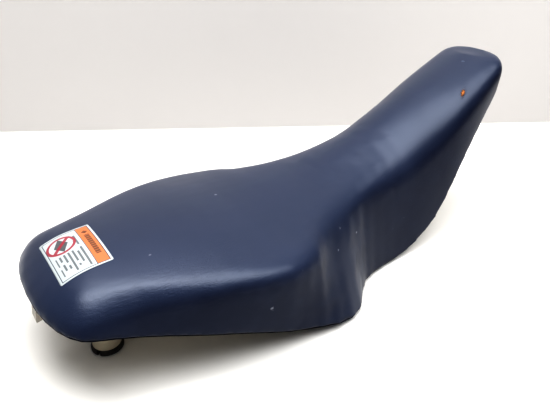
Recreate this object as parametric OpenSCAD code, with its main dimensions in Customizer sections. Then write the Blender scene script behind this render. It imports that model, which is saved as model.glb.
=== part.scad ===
// Saddle for a small off-road motorcycle or quad: vinyl cover over foam on a moulded pan,
// with a sprung latch under the tail, hold-down hooks, a front tongue and rubber feet.
// Millimetres. X points to the nose, Y to the rider's left, Z up. It stands on its feet at Z = 0.

/* [Plan outline] */
// Length from the tail to the nose
seat_length = 670; // [620:1:820]
// Half width of the lower edge where the thigh wings are widest
wing_half = 144; // [126:1:176]
// Half width of the lower edge at the tail corners
tail_half = 84; // [70:1:102]
// Half width of the lower edge at the waist, in front of the wings
waist_half = 90; // [80:1:110]
// Half width of the lower edge just behind the nose
nose_half = 46; // [42:1:58]
// Half width of the top at the tail
tail_top_half = 74; // [62:1:90]
// Half width of the top at the wings
wing_top_half = 131; // [112:1:158]
// Half width of the top along the narrow front
waist_top_half = 66; // [60:1:80]
// Half width of the top at the nose
nose_top_half = 53; // [44:1:64]
// Plan radius of the tail corners
tail_corner = 34; // [26:1:42]
// Plan radius of the nose corners
nose_corner = 28; // [22:1:34]
// How far the top is set in from the tail end
tail_inset = 9; // [6:0.5:12]
// How far the top is set in from the nose end
nose_inset = 2; // [1:0.5:5]

/* [Side view] */
// Height of the lower edge at the tail end
tail_edge_z = 86; // [80:1:92]
// Height of the lower edge under the rider
low_edge_z = 3; // [2:0.5:12]
// Height of the lower edge at the nose
nose_edge_z = 206; // [180:1:240]
// Height of the top's shoulder at the tail
tail_shoulder_z = 99; // [95:1:110]
// Height of the top's shoulder at the lowest part of the seat
dip_shoulder_z = 99; // [92:1:112]
// Height of the top's shoulder at the nose
nose_shoulder_z = 244; // [215:1:285]
// Height of the crown where it starts at the tail
tail_crown_z = 103; // [99:1:116]
// Height of the crown at the lowest part of the seat
dip_crown_z = 117; // [108:1:130]
// Height of the crown at the nose
nose_crown_z = 252; // [224:1:296]
// Radius of the padded shoulder at the tail
tail_round = 24; // [16:1:28]
// Radius of the padded shoulder along the front
front_round = 20; // [14:1:26]

/* [Cover, foam and pan] */
// Thickness of the vinyl
cover_t = 1.2; // [0.8:0.1:1.8]
// Gap kept between the cover, the foam and the pan
skin_gap = 0.35; // [0.3:0.05:0.5]
// Foam left over the edge of the pan
edge_foam = 4; // [3:0.5:6]
// Wall thickness of the pan
pan_t = 3; // [2.4:0.1:3.4]
// Gap kept between the turned-up hem and the pan
hem_gap = 1; // [0.8:0.1:1.3]
// Height of the pan's upright lip
lip_h = 4.5; // [3.5:0.5:5.5]
// Width of vinyl turned up inside the pan
hem_w = 12; // [8:0.5:13]
// Depth of foam under the middle of the rider
foam_depth = 47; // [38:1:56]
// Foam beside the pan at the wings
wing_foam = 22; // [16:1:28]
// Foam beside the pan along the narrow front
front_foam = 10; // [8:1:14]
// Depth of the pan's ribs
rib_depth = 13; // [6:1:18]
// Thickness of the pan's ribs
rib_t = 2.4; // [2:0.1:3]
// Diameter of the drain holes
drain_d = 8; // [5:0.5:10]

/* [Feet] */
// Distance of the rear feet from the tail
rear_foot_u = 63; // [60:1:66]
// Rear feet from the centre line
rear_foot_y = 18.5; // [18:0.5:24]
// Distance of the middle feet from the tail
mid_foot_u = 390; // [380:1:400]
// Middle feet from the centre line
mid_foot_y = 36; // [28:1:38]
// Diameter of a rubber foot
foot_d = 34; // [28:1:36]
// Thickness of a rubber foot
foot_h = 6.5; // [5:0.5:8]
// Diameter of a rubber foot's stem
foot_stem_d = 12; // [9:0.5:14]
// Length of a rubber foot's stem
foot_stem_l = 16; // [10:1:20]
// Width of the notch in a foot's rim
foot_notch = 4; // [2:0.5:6]
// Clearance around a stem, on the radius
stem_clear = 0.1; // [0.05:0.05:0.2]
// Diameter of a leg at its foot
leg_end_d = 30; // [26:1:31]
// Diameter of a leg where it meets the pan
leg_root_d = 33; // [31:1:34]

/* [Latch] */
// Distance of the latch pivot from the tail
pivot_u = 34; // [33:0.5:36]
// Height of the latch pivot
pivot_z = 57; // [56:0.5:58]
// Pivot pin diameter
pin_d = 6; // [5:0.1:7.2]
// Running clearance on the pin, on the radius
pin_clear = 0.06; // [0.02:0.01:0.1]
// Thickness of the latch plate
hook_t = 4; // [3:0.5:5]
// Height of the hook's lowest point
hook_low_z = 20; // [16:0.5:24]
// Diameter of the bar that the hook holds
striker_d = 8; // [6:0.5:10]
// Distance between the bracket's cheeks
cheek_gap = 18; // [17:0.5:20]
// Sheet thickness of the bracket
bracket_t = 2.5; // [2:0.5:3]
// Height of the pan's seat for the bracket
bracket_seat_z = 76; // [75.5:0.5:77]
// Width of the release tab
tab_w = 16; // [12:1:28]
// Height of the release tab
tab_h = 14; // [12.5:0.5:16]
// Thickness of the release tab
tab_t = 4; // [3:0.5:5]
// Clearance each side of the plate in the tab's slot
slot_clear = 0.1; // [0.05:0.05:0.2]
// Wire diameter of the return spring
spring_wire = 1.2; // [0.8:0.1:1.3]
// Mean coil radius of the return spring
spring_r = 6.6; // [6.3:0.1:6.9]

/* [Steel hooks, tongue and screws] */
// Sheet thickness of the hooks and the tongue
strap_t = 3; // [2:0.5:3]
// Width of a hold-down hook
hook_w = 25; // [20:1:30]
// Distance of the hold-down hooks from the tail
side_hook_u = 252; // [245:1:260]
// Hold-down hooks from the centre line
side_hook_y = 60; // [54:1:64]
// Drop of a hold-down hook below the pan
side_hook_drop = 33; // [26:1:38]
// Length of a hold-down hook's toe
side_hook_toe = 22; // [16:1:28]
// Width of the front tongue
tongue_w = 40; // [32:1:44]
// Distance of the tongue's middle from the nose
tongue_back = 77; // [74:1:80]
// Step of the tongue below the pan
tongue_step = 10; // [8:1:12]
// Reach of the tongue past its step
tongue_reach = 40; // [30:1:42]
// Screw shank diameter
screw_d = 4; // [3.5:0.1:4.2]
// Screw length under the head
screw_l = 8.5; // [7.5:0.5:8.5]
// Screw head diameter
screw_head_d = 8.6; // [7.5:0.1:9]
// Screw head height
screw_head_h = 2.6; // [2:0.1:3]
// Clearance of a screw in its hole, on the radius
screw_clear = 0.06; // [0.05:0.01:0.1]

/* [Label, staples and nose pads] */
// Width of the label, across the seat
label_w = 75; // [50:1:84]
// Length of the label, along the seat
label_l = 51; // [40:1:56]
// Distance of the label from the tail
label_u = 28; // [26:1:34]
// Thickness of the label
label_t = 0.35; // [0.2:0.05:0.5]
// Width of a staple
staple_w = 11; // [9:0.5:13]
// Leg length of a staple
staple_leg = 4.8; // [4:0.2:5]
// Wire size of a staple
staple_wire = 0.7; // [0.5:0.1:1]
// Spacing of the staples
staple_pitch = 27; // [22:1:36]
// Diameter of a nose pad
pad_d = 18; // [14:1:20]
// Height of a nose pad
pad_h = 7; // [5:0.5:9]
// Distance of the nose pads from the nose
pad_back = 118; // [112:1:124]
// Nose pads from the centre line
pad_y = 25; // [24:1:28]

/* [Hidden] */
$fn = 64;
L = seat_length;

// ---- curves through named sizes -------------------------------------------
// A blend list says how far a curve has swung from its first size to its second at each station.
function lerp(a, b, k) = a + (b - a) * k;
function clip(x, a, b) = max(a, min(b, x));
function rise(X, Y, i) = (Y[i + 1] - Y[i]) / (X[i + 1] - X[i]);
function slope(X, Y, i) = let (n = len(X)) i == 0 ? rise(X, Y, 0) : i == n - 1 ? rise(X, Y, n - 2)
  : let (a = rise(X, Y, i - 1), b = rise(X, Y, i), ha = X[i] - X[i - 1], hb = X[i + 1] - X[i])
    a * b <= 0 ? 0 : (3 * (ha + hb)) / ((2 * hb + ha) / a + (hb + 2 * ha) / b);
function curve(X, Y, x0) = let (x = clip(x0, X[0], X[len(X) - 1]),
    i = clip(len([for (v = X) if (v <= x) 1]) - 1, 0, len(X) - 2),
    h = X[i + 1] - X[i], t = (x - X[i]) / h)
  (2 * t ^ 3 - 3 * t ^ 2 + 1) * Y[i] + (t ^ 3 - 2 * t ^ 2 + t) * h * slope(X, Y, i)
  + (-2 * t ^ 3 + 3 * t ^ 2) * Y[i + 1] + (t ^ 3 - t ^ 2) * h * slope(X, Y, i + 1);

// stations along the seat, measured from the end they belong to
edge_u = [0, 70, 150, 240, 295, 325, 345, 372, 405, L - 175, L];
edge_half = concat([for (k = [0, 0.23, 0.62, 0.87, 1]) lerp(tail_half, wing_half, k)],
  [for (k = [0.84, 0.51, 0.16, 0.02]) lerp(waist_half, wing_half, k)],
  [for (k = [0.1, 1]) lerp(waist_half, nose_half, k)]);
top_u = [0, 70, 150, 225, 264, 290, 333, 380, L - 230, L - 130, L];
top_half = concat([for (k = [0, 0.24, 0.76, 1, 0.81]) lerp(tail_top_half, wing_top_half, k)],
  [for (k = [0.49, 0.17, 0.05]) lerp(waist_top_half, wing_top_half, k)],
  [for (k = [0, 0.1, 1]) lerp(waist_top_half, nose_top_half, k)]);
side_u = [0, 80, 160, 240, 330, L - 240, L - 170, L - 90, L];
edge_z = concat([for (k = [0, 0.24, 0.51, 0.84, 1]) lerp(tail_edge_z, low_edge_z, k)],
  [for (k = [0, 0.12, 0.567, 1]) lerp(low_edge_z, nose_edge_z, k)]);
hip_rise = 8;
shoulder_z = concat([tail_shoulder_z, dip_shoulder_z + hip_rise, dip_shoulder_z + hip_rise - 1, dip_shoulder_z],
  [for (k = [0.083, 0.145, 0.317, 0.634, 1]) lerp(dip_shoulder_z, nose_shoulder_z, k)]);
crown_z = concat([tail_crown_z, dip_crown_z + 3, dip_crown_z + 4, dip_crown_z],
  [for (k = [0.04, 0.23, 0.452, 0.715, 1]) lerp(dip_crown_z, nose_crown_z, k)]);
round_u = [0, 300, L];
round_r = [tail_round, front_round, front_round];
crown_start = 74;
crown_end = 42;

// foam over the pan, at the side stations, and beside it
edge_cover_min = 5;
foam_over = [edge_cover_min, foam_depth - 13, foam_depth - 3, foam_depth - 1, foam_depth,
  foam_depth, foam_depth - 2, foam_depth - 8, 16];
foam_side = [12, 18, wing_foam, wing_foam + 1, wing_foam - 5, front_foam, front_foam, front_foam, front_foam];
pan_round = 10;
pan_crown_start = 42;
pan_crown_end = 34;
pan_tail_inset = tail_inset + 12;
pan_nose_inset = nose_inset + 14;

// ---- stations round the plan ----------------------------------------------
n_cap = 6;
n_mid = 29;
half_u = concat([for (i = [0:n_cap - 1]) tail_corner * (1 - cos(90 * i / n_cap))],
  [for (i = [0:n_mid]) tail_corner + (L - tail_corner - nose_corner) * i / n_mid],
  [for (i = [1:n_cap]) L - nose_corner * (1 - sin(90 * i / n_cap))]);
N = len(half_u) - 1;
M = 2 * N;
cap_power = 2.3;
function cap(u, a, b, ra, rb) = let (p = clip((ra - (u - a)) / ra, 0, 1), q = clip((rb - (b - u)) / rb, 0, 1))
  max(0, 1 - p ^ cap_power) ^ (1 / cap_power) * max(0, 1 - q ^ cap_power) ^ (1 / cap_power);
function st(k) = k <= N ? k : M - k;
function sgn(k) = (k % N == 0) ? 0 : (k < N ? -1 : 1);

// lower edge loop, and its outward direction in plan
edge_half_loop = [for (u = half_u) [u, curve(edge_u, edge_half, u) * cap(u, 0, L, tail_corner, nose_corner), curve(side_u, edge_z, u)]];
function loop(H) = [for (k = [0:M - 1]) [H[st(k)][0], sgn(k) * H[st(k)][1], H[st(k)][2]]];
edge_loop = loop(edge_half_loop);
function unit(v) = v / max(norm(v), 1e-9);
function plan_out(P) = [for (k = [0:M - 1]) let (t = unit([for (a = [0, 1]) P[(k + 1) % M][a] - P[(k + M - 1) % M][a]])) [t[1], -t[0], 0]];
edge_out = plan_out(edge_loop);
function inset(d, dz) = [for (k = [0:M - 1]) edge_loop[k] - d * edge_out[k] + [0, 0, dz]];

// a string of points from the lower edge to the crown, at one station
function over(s, c, w) = [lerp(s[0], c[0], w), lerp(s[1], c[1], w), s[2] + (c[2] - s[2]) * (1 - (1 - w) ^ 2)];
function arc_pt(a, s, t, w) = a * (1 - w) ^ 2 + 2 * w * (1 - w) * s + t * w ^ 2;
function string_pts(e, s, c, r, start, n_wall, n_arc, n_top) = let (
    fa = clip(r / norm(e - s), 0, 0.7), fb = clip(r / max(norm(c - s), 1e-6), 0, 0.6),
    a = s + (e - s) * fa, t = over(s, c, fb), w0 = min(start / norm(a - e), 0.8))
  concat([for (j = [0:n_wall - 1]) e + (a - e) * lerp(w0, 1, j / (n_wall - 1))], [for (j = [1:n_arc]) arc_pt(a, s, t, j / n_arc)],
    [for (j = [1:n_top]) over(s, c, fb + (1 - fb) * j / n_top)]);

// mitred outward direction at row j, station k; the loops' rows are G, the crown line is the last row
function facing(G, j, k, m) = unit(cross(G[j][(k + 1) % M] - G[j][(k + M - 1) % M], G[m][k] - G[m - 1][k]));
function mitre(G, j, k) = let (J = len(G), a = facing(G, j, k, max(j, 1)), b = facing(G, j, k, min(j + 1, J - 1)))
  (a + b) / (1 + max(-0.4, a * b));
function crown_dir(S, i) = let (n = len(S), t = unit(S[min(i + 1, n - 1)] - S[max(i - 1, 0)])) [-t[2], 0, t[0]];
function push(G, d) = [for (j = [0:len(G) - 2]) [for (k = [0:M - 1]) G[j][k] - d * mitre(G, j, k)]];
function push_crown(S, d) = [for (i = [0:len(S) - 1]) S[i] - d * crown_dir(S, i)];

// ---- the seat's outer surface ---------------------------------------------
function us(i, a, b) = a + (L - a - b) * half_u[i] / L;
skin_s = [for (i = [0:N]) let (u = us(i, tail_inset, nose_inset))
  [u, curve(top_u, top_half, u) * cap(u, tail_inset, L - nose_inset, tail_corner - tail_inset / 2, nose_corner - nose_inset / 3), curve(side_u, shoulder_z, u)]];
skin_c = [for (i = [0:N]) let (u = clip(skin_s[i][0], crown_start, L - crown_end)) [u, 0, curve(side_u, crown_z, u)]];
wall_start = 3;
skin_half = [for (i = [0:N]) let (e = edge_half_loop[i], s = skin_s[i])
  string_pts(e, s, skin_c[i], curve(round_u, round_r, s[0]), wall_start, 4, 5, 6)];
function rows(H) = [for (j = [0:len(H[0]) - 1]) [for (k = [0:M - 1]) let (p = H[st(k)][j]) [p[0], sgn(k) * p[1], p[2]]]];
skin = rows(skin_half);
function first_in(C) = max([for (i = [0:N]) if (C[i][0] <= C[0][0]) i]);
function last_in(C) = min([for (i = [0:N]) if (C[i][0] >= C[N][0]) i]);
function crown_line(C) = [for (i = [first_in(C):last_in(C)]) C[i]];
skin_crown = crown_line(skin_c);

// ---- the pan's upper surface ----------------------------------------------
pan_in = cover_t + edge_foam + 2 * skin_gap;
pan_lift = cover_t + skin_gap;
pan_s = [for (i = [0:N]) let (u = us(i, pan_tail_inset, pan_nose_inset))
  [u, (curve(top_u, top_half, u) - curve(side_u, foam_side, u)) * cap(u, pan_tail_inset, L - pan_nose_inset, tail_corner - 8, nose_corner - 6),
    max(curve(side_u, shoulder_z, u) - curve(side_u, foam_over, u), curve(side_u, edge_z, u) + pan_lift + lip_h + 1)]];
pan_c = [for (i = [0:N]) let (u = clip(pan_s[i][0], pan_crown_start, L - pan_crown_end)) [u, 0, curve(side_u, crown_z, u) - curve(side_u, foam_over, u)]];
pan_base = inset(pan_in, pan_lift);
pan_half = [for (i = [0:N]) let (b = pan_base[i], lo = [b[0], -b[1], b[2]], hi = lo + [0, 0, lip_h])
  concat([lo], string_pts(hi, pan_s[i], pan_c[i], pan_round, 0, 3, 3, 3))];
pan_top = rows(pan_half);
pan_crown = crown_line(pan_c);

// height of the pan's upper surface at a place in plan
function pan_z(u, y) = u >= pan_crown_start ? pan_mid_z(u, abs(y)) : pan_fan_z(u, abs(y));
function pan_blend(s, c, w) = s[2] + (c[2] - s[2]) * (1 - (1 - w) ^ 2);
function pan_mid_z(u, y) = let (i = clip(len([for (p = pan_s) if (p[0] <= u) 1]) - 1, 0, N - 1),
    t = (u - pan_s[i][0]) / (pan_s[i + 1][0] - pan_s[i][0]),
    s = lerp(pan_s[i], pan_s[i + 1], t), c = lerp(pan_c[i], pan_c[i + 1], t))
  pan_blend(s, c, clip(1 - y / s[1], 0, 1));
function turn(a, b) = a[0] * b[1] - a[1] * b[0];
function pan_fan_z(u, y) = let (c = pan_c[0], d = [u - c[0], max(y, 0.01)],
    hit = [for (i = [0:N - 1]) let (a = [pan_s[i][0] - c[0], pan_s[i][1]], b = [pan_s[i + 1][0] - c[0], pan_s[i + 1][1]])
      if (turn(a, d) <= 0 && turn(b, d) > 0) let (f = turn(a, d) / (turn(a, d) - turn(b, d))) [lerp(pan_s[i], pan_s[i + 1], f), norm(d) / norm(lerp(a, b, f))]])
  len(hit) == 0 ? c[2] : pan_blend(hit[0][0], c, clip(1 - hit[0][1], 0, 1));

// ---- closed solids between two such surfaces ------------------------------
function flat(V) = [for (r = V) each r];
function crown_ix(i, C) = clip(i, first_in(C), last_in(C)) - first_in(C);
function strip(b, J, flip) = [for (j = [0:J - 2]) for (k = [0:M - 1]) let (n = (k + 1) % M,
    q = [b + j * M + k, b + (j + 1) * M + k, b + (j + 1) * M + n, b + j * M + n])
  each (flip ? [[q[0], q[2], q[1]], [q[0], q[3], q[2]]] : [[q[0], q[1], q[2]], [q[0], q[2], q[3]]])];
function lid(b, J, C, flip) = let (r = b + (J - 1) * M, c0 = b + J * M)
  [for (k = [0:M - 1]) let (n = (k + 1) % M, p = c0 + crown_ix(st(k), C), q = c0 + crown_ix(st(n), C),
      A = [r + k, p, r + n], B = [r + n, p, q])
    each concat([flip ? [A[0], A[2], A[1]] : A], p == q ? [] : [flip ? [B[0], B[2], B[1]] : B])];
function rim(a, b) = [for (k = [0:M - 1]) let (n = (k + 1) % M) each [[a + k, a + n, b + n], [a + k, b + n, b + k]]];
// upper rows and crown, lower rows and crown, and the crown map that both share
module skin_solid(U, uc, D, dc, CU, CD) {
  base = len(U) * M + len(uc);
  polyhedron(concat(flat(U), uc, flat(D), dc),
    concat(strip(0, len(U), false), lid(0, len(U), CU, false),
      strip(base, len(D), true), lid(base, len(D), CD, true), rim(0, base)), convexity = 8);
}

// point at a distance along a string of points
function along(P, d, i = 0) = i >= len(P) - 1 ? P[len(P) - 1] : let (s = norm(P[i + 1] - P[i]))
  d <= s ? lerp(P[i], P[i + 1], s == 0 ? 0 : d / s) : along(P, d - s, i + 1);
function column(G, k) = [for (r = G) r[k]];
hem_front = pan_t + hem_gap;
hem_back_rows = push(pan_top, hem_front);
hem_front_rows = push(pan_top, hem_front + cover_t);
function hem_row(G, d) = [for (k = [0:M - 1]) along(column(G, k), d)];

skin_under = push(skin, cover_t);
rim_in = pan_in + hem_front;

module seat() translate([-L / 2, 0, 0]) children();

module cover() color([0.2, 0.23, 0.36]) seat()
  skin_solid(
    concat([hem_row(hem_front_rows, hem_w), hem_row(hem_front_rows, hem_w / 2), inset(rim_in + cover_t, cover_t),
      inset(rim_in, 0), inset(2.2, 0)], [for (j = [0:len(skin) - 2]) skin[j]]),
    skin_crown,
    concat([hem_row(hem_back_rows, hem_w), hem_row(hem_back_rows, hem_w / 2), inset(rim_in, cover_t), inset(2.6, cover_t)], skin_under),
    push_crown(skin_crown, cover_t), skin_c, skin_c);

foam_skin = push(skin, cover_t + skin_gap);
module foam() color([0.86, 0.52, 0.28]) seat()
  skin_solid(concat([inset(4.4, pan_lift + 0.3)], foam_skin), push_crown(skin_crown, cover_t + skin_gap),
    concat([inset(pan_in - skin_gap, pan_lift + 0.3)], [for (j = [1:len(pan_top) - 2]) push(pan_top, -skin_gap)[j]]),
    push_crown(pan_crown, -skin_gap), skin_c, pan_c);

// ---- pan ------------------------------------------------------------------
// material hanging under the pan: its top lies inside the pan's wall, its bottom is a plane or follows the pan
module under(u0, u1, y0, y1, z0, m, follow) {
  nu = max(1, ceil((u1 - u0) / 12));
  ny = max(1, ceil((y1 - y0) / 12));
  top = [for (i = [0:nu]) for (j = [0:ny]) let (u = lerp(u0, u1, i / nu), y = lerp(y0, y1, j / ny)) [u, y, pan_z(u, y) - pan_t / 2]];
  bottom = [for (p = top) [p[0], p[1], follow ? p[2] - pan_t / 2 - rib_depth : z0 + m * (p[0] - u0)]];
  n = len(top);
  w = ny + 1;
  polyhedron(concat(top, bottom), concat(
    [for (i = [0:nu - 1]) for (j = [0:ny - 1]) let (a = i * w + j) each [[a, a + 1, a + w], [a + 1, a + w + 1, a + w]]],
    [for (i = [0:nu - 1]) for (j = [0:ny - 1]) let (a = n + i * w + j) each [[a, a + w, a + 1], [a + 1, a + w, a + w + 1]]],
    [for (i = [0:nu - 1]) let (a = i * w) each [[a, a + w, n + a + w], [a, n + a + w, n + a]]],
    [for (i = [0:nu - 1]) let (a = i * w + ny) each [[a, n + a + w, a + w], [a, n + a, n + a + w]]],
    [for (j = [0:ny - 1]) each [[j, n + j, n + j + 1], [j, n + j + 1, j + 1]]],
    [for (j = [0:ny - 1]) let (a = nu * w + j) each [[a, n + a + 1, n + a], [a, a + 1, n + a + 1]]]));
}

mid_seat_z = 64;
mid_seat_r = 16;
leg_sites = [[rear_foot_u, rear_foot_y, bracket_seat_z], [rear_foot_u, -rear_foot_y, bracket_seat_z],
  [mid_foot_u, mid_foot_y, mid_seat_z], [mid_foot_u, -mid_foot_y, mid_seat_z]];
leg_gap = skin_gap;
module leg(s) translate([s[0], s[1], foot_h + leg_gap])
  cylinder(h = s[2] - foot_h - leg_gap + 1, d1 = leg_end_d, d2 = leg_root_d);

// pan seats for the steel parts
side_seat_z = 58;
tongue_u = L - tongue_back;
tongue_run = 36;
tongue_slope = (pan_z(tongue_u + tongue_run, 0) - pan_z(tongue_u - tongue_run, 0)) / (2 * tongue_run);
tongue_tilt = atan(tongue_slope);
tongue_z = min(pan_z(tongue_u, 0), pan_z(tongue_u + 20, 18) - 20 * tongue_slope, pan_z(tongue_u - 30, 18) + 30 * tongue_slope) - 6.2;
pad_u = L - pad_back;
pad_slope = (pan_z(pad_u + 12, pad_y) - pan_z(pad_u - 12, pad_y)) / 24;
pad_tilt = atan(pad_slope);
pad_z = pan_z(pad_u, pad_y) - 9.5;
module at_tongue() translate([tongue_u, 0, tongue_z]) rotate([0, -tongue_tilt, 0]) children();
module at_pad(s) translate([pad_u, s * pad_y, pad_z]) rotate([0, -pad_tilt, 0]) children();

bracket_u0 = pivot_u - 11;
bracket_u1 = pivot_u + 9;
bracket_hole_y = 20;
hook_hole = 8;
tongue_hole_x = [-22, -6];

// ribs: two along the seat and four across it; drain holes between them
rib_y = 34;
rib_u = [130, 190, 318, L - 190];
rib_half = 46;
drain_u = [160, 222, 348];

module at_screws(top) {
  for (s = [-1, 1]) translate([pivot_u, s * bracket_hole_y, bracket_seat_z - bracket_t]) children();
  for (s = [-1, 1], d = [-hook_hole, hook_hole]) translate([side_hook_u + d, s * side_hook_y, side_seat_z - strap_t]) children();
  for (x = tongue_hole_x) at_tongue() translate([x, 0, -strap_t]) children();
}

// the shell, its seats and its ribs are one free-form moulding
module pan() color([0.8, 0.75, 0.64]) seat() difference() {
  union() {
    resize([0, 0, 0]) union() {
    skin_solid([for (j = [0:len(pan_top) - 2]) pan_top[j]], pan_crown, push(pan_top, pan_t), push_crown(pan_crown, pan_t), pan_c, pan_c);
    under(bracket_u0 - 1, rear_foot_u + 20, -rear_foot_y - 20, rear_foot_y + 20, bracket_seat_z, 0, false);
    for (s = [-1, 1]) {
      under(mid_foot_u - 18, mid_foot_u + 18, s * mid_foot_y - mid_seat_r, s * mid_foot_y + mid_seat_r, mid_seat_z, 0, false);
      under(side_hook_u - 20, side_hook_u + 20, s * side_hook_y - 17, s * side_hook_y + 17, side_seat_z, 0, false);
      under(pad_u - 10, pad_u + 10, s * pad_y - 9.5, s * pad_y + 9.5, pad_z - 10 * pad_slope, pad_slope, false);
      under(rear_foot_u + 19, mid_foot_u - 17, s * rib_y - rib_t / 2, s * rib_y + rib_t / 2, 0, 0, true);
    }
    under(tongue_u - 30.5, tongue_u + 12, -tongue_w / 2 - 2, tongue_w / 2 + 2, tongue_z - 30.5 * tongue_slope, tongue_slope, false);
    for (u = rib_u) under(u - rib_t / 2, u + rib_t / 2, -rib_half, rib_half, 0, 0, true);
    }
    for (s = leg_sites) leg(s);
  }
  for (s = leg_sites) translate([s[0], s[1], 0]) cylinder(h = foot_h + foot_stem_l + 2, r = foot_stem_d / 2 + stem_clear);
  at_screws() cylinder(h = screw_l + 0.5, r = screw_d / 2 + screw_clear);
  for (s = [-1, 1]) at_pad(s) translate([0, 0, -1]) cylinder(h = 5.5, d = pad_d / 3 + 2 * stem_clear);
  for (u = drain_u) translate([u, 0, 0]) cylinder(h = 200, d = drain_d);
}

// ---- rubber ---------------------------------------------------------------
notch_turn = 217;
module rubber_foot(s) color([0.13, 0.12, 0.12]) seat() translate([s[0], s[1], 0]) difference() {
  rotate_extrude() polygon([[0, 0], [foot_d / 2 - 1.5, 0], [foot_d / 2, 1.5], [foot_d / 2, foot_h - 2], [leg_end_d / 2, foot_h],
      [foot_stem_d / 2, foot_h], [foot_stem_d / 2, foot_h + foot_stem_l - 2], [foot_stem_d / 2 - 1.5, foot_h + foot_stem_l], [0, foot_h + foot_stem_l]]);
  rotate([0, 0, notch_turn]) translate([leg_end_d / 2 - 2, -foot_notch / 2, -1]) cube([foot_d, foot_notch, foot_h + 2]);
}
module foot_rear_left() rubber_foot(leg_sites[0]);
module foot_rear_right() rubber_foot(leg_sites[1]);
module foot_mid_left() rubber_foot(leg_sites[2]);
module foot_mid_right() rubber_foot(leg_sites[3]);

module nose_pad(s) color([0.13, 0.12, 0.12]) seat() at_pad(s) translate([0, 0, -skin_gap]) rotate_extrude()
  polygon([[0, -pad_h], [pad_d / 2 - 1.5, -pad_h], [pad_d / 2, 1.5 - pad_h], [pad_d / 2, 0], [pad_d / 6, 0], [pad_d / 6, 4], [0, 4]]);
module nose_pad_left() nose_pad(1);
module nose_pad_right() nose_pad(-1);

// ---- steel hooks and tongue -----------------------------------------------
module side_plate(w, pts) rotate([90, 0, 0]) linear_extrude(height = w, center = true) polygon(pts);
module screw_hole() translate([0, 0, -2]) cylinder(h = strap_t + 4, r = screw_d / 2 + screw_clear);

module side_hook(s) color([0.62, 0.63, 0.65]) seat() translate([side_hook_u, s * side_hook_y, side_seat_z]) difference() {
  side_plate(hook_w, [[-16, 0], [19, 0], [19, 4 - side_hook_drop], [19 + side_hook_toe, 4 - side_hook_drop + 1],
      [19 + side_hook_toe, 4 - side_hook_drop + 1 - strap_t], [21, 4 - side_hook_drop - strap_t], [17, 4 - side_hook_drop - strap_t],
      [16, 5 - side_hook_drop - strap_t], [16, -strap_t], [-16, -strap_t]]);
  for (d = [-hook_hole, hook_hole]) translate([d, 0, -strap_t]) screw_hole();
}
module side_hook_left() side_hook(1);
module side_hook_right() side_hook(-1);

module tongue() color([0.62, 0.63, 0.65]) seat() at_tongue() difference() {
  union() {
    side_plate(tongue_w, [[-30, 0], [8, 0], [14, -tongue_step], [14 + tongue_reach - tongue_w / 2, -tongue_step],
        [14 + tongue_reach - tongue_w / 2, -tongue_step - strap_t], [12, -tongue_step - strap_t], [6, -strap_t], [-30, -strap_t]]);
    translate([14 + tongue_reach - tongue_w / 2, 0, -tongue_step - strap_t]) cylinder(h = strap_t, d = tongue_w);
  }
  for (x = tongue_hole_x) translate([x, 0, -strap_t]) screw_hole();
}

module screws() color([0.7, 0.7, 0.68]) seat() at_screws() rotate_extrude()
  polygon([[0, 0.7 - screw_head_h], [1.4, 0.7 - screw_head_h], [1.6, -screw_head_h], [screw_head_d / 2 - 1.2, -screw_head_h], [screw_head_d / 2, -1], [screw_head_d / 2, -0.05], [screw_d / 2, -0.05],
      [screw_d / 2, screw_l - 1], [screw_d / 2 - 1, screw_l], [0, screw_l]]);

// ---- latch ----------------------------------------------------------------
module at_pivot() seat() translate([pivot_u, 0, pivot_z]) children();
cheek_h = bracket_seat_z - bracket_t - pivot_z;
cheek_r = 8;
cheek_y = cheek_gap / 2 + bracket_t / 2;
module cheek() rotate([90, 0, 0]) difference() {
  union() {
    linear_extrude(height = bracket_t, center = true) polygon([[-cheek_r, 0], [cheek_r, 0], [cheek_r, cheek_h + 1], [-cheek_r, cheek_h + 1]]);
    cylinder(h = bracket_t, r = cheek_r, center = true);
  }
  cylinder(h = bracket_t + 2, r = pin_d / 2 + pin_clear, center = true);
}
module latch_bracket() color([0.66, 0.66, 0.62]) at_pivot() {
  difference() {
    translate([bracket_u0 - pivot_u, -bracket_hole_y - 7, cheek_h]) cube([bracket_u1 - bracket_u0, 2 * bracket_hole_y + 14, bracket_t]);
    for (s = [-1, 1]) translate([0, s * bracket_hole_y, cheek_h - 1]) cylinder(h = bracket_t + 2, r = screw_d / 2 + screw_clear);
  }
  for (s = [-1, 1]) translate([0, s * cheek_y, 0]) cheek();
}

hub_r = 5;
hub_l = cheek_gap - 0.4;
hook_drop = pivot_z - hook_low_z;
throat = hook_drop - 11;
arm_end = -24;
module latch_hook() color([0.7, 0.7, 0.72]) at_pivot() rotate([90, 0, 0]) difference() {
  union() {
    linear_extrude(height = hook_t, center = true) polygon([[-4.5, 0], [-4.5, 4 - hook_drop], [-1, -hook_drop], [4, -hook_drop],
        [4 + striker_d, 8 - hook_drop], [4 + striker_d, -throat], [4, -throat], [4, 0]]);
    cylinder(h = hook_t, r = 7.5, center = true);
    linear_extrude(height = hook_t, center = true) polygon([[0, 6.5], [-8, 7.2], [-15, 7.8], [arm_end, 8], [arm_end, 1], [-16, 0], [-9, -4], [0, -6.5]]);
    cylinder(h = hub_l, r = hub_r, center = true);
  }
  cylinder(h = hub_l + 2, r = pin_d / 2 + pin_clear, center = true);
}

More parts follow.
